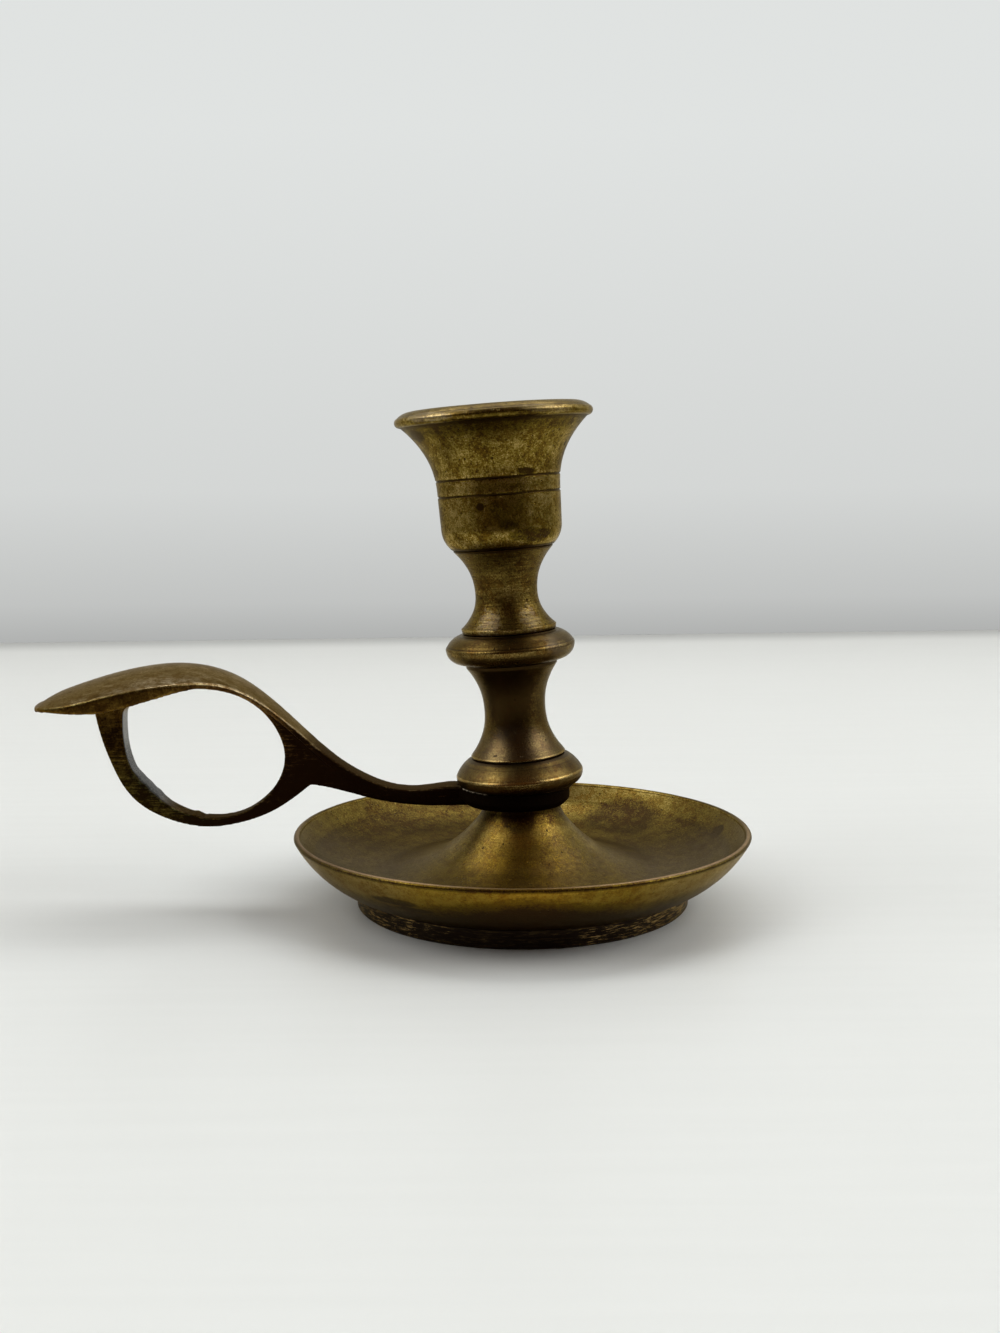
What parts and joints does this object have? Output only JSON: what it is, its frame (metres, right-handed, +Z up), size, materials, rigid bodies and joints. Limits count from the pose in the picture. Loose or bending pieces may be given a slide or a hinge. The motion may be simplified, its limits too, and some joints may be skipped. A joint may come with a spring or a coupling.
{
  "type": "chamberstick with finger loop",
  "caption": "Low brass candle holder for carrying: round drip dish on a foot ring, side handle with thumb leaf and finger loop, short turned stem and a bell-mouthed candle cup.",
  "frame": {"origin": "centre of the foot ring, in the plane it rests on", "axes": "+Z up, square to the resting plane; the handle points to -X; the viewer of the picture is on the -Y side"},
  "size_m": [0.1498, 0.0964, 0.105],
  "materials": {
    "dish_brass": "aged satin, olive to golden, dark patina on the foot ring",
    "handle_brass": "aged satin, brown-grey on the leaf, dark reddish brown on the loop",
    "stem_brass": "aged satin, worn bright on the beads",
    "cup_brass": "aged satin, mottled olive and gold",
    "rod_steel": "dull, lightly oxidised",
    "washer_steel": "dull",
    "nut_steel": "dull"
  },
  "bodies": {
    "root": {"drip_dish": "dish_brass", "handle": "handle_brass", "base_collar": "stem_brass", "lower_stem": "stem_brass", "upper_stem": "stem_brass", "candle_cup": "cup_brass", "tie_rod": "rod_steel", "washer": "washer_steel", "nut": "nut_steel"}
  },
  "joints": []
}
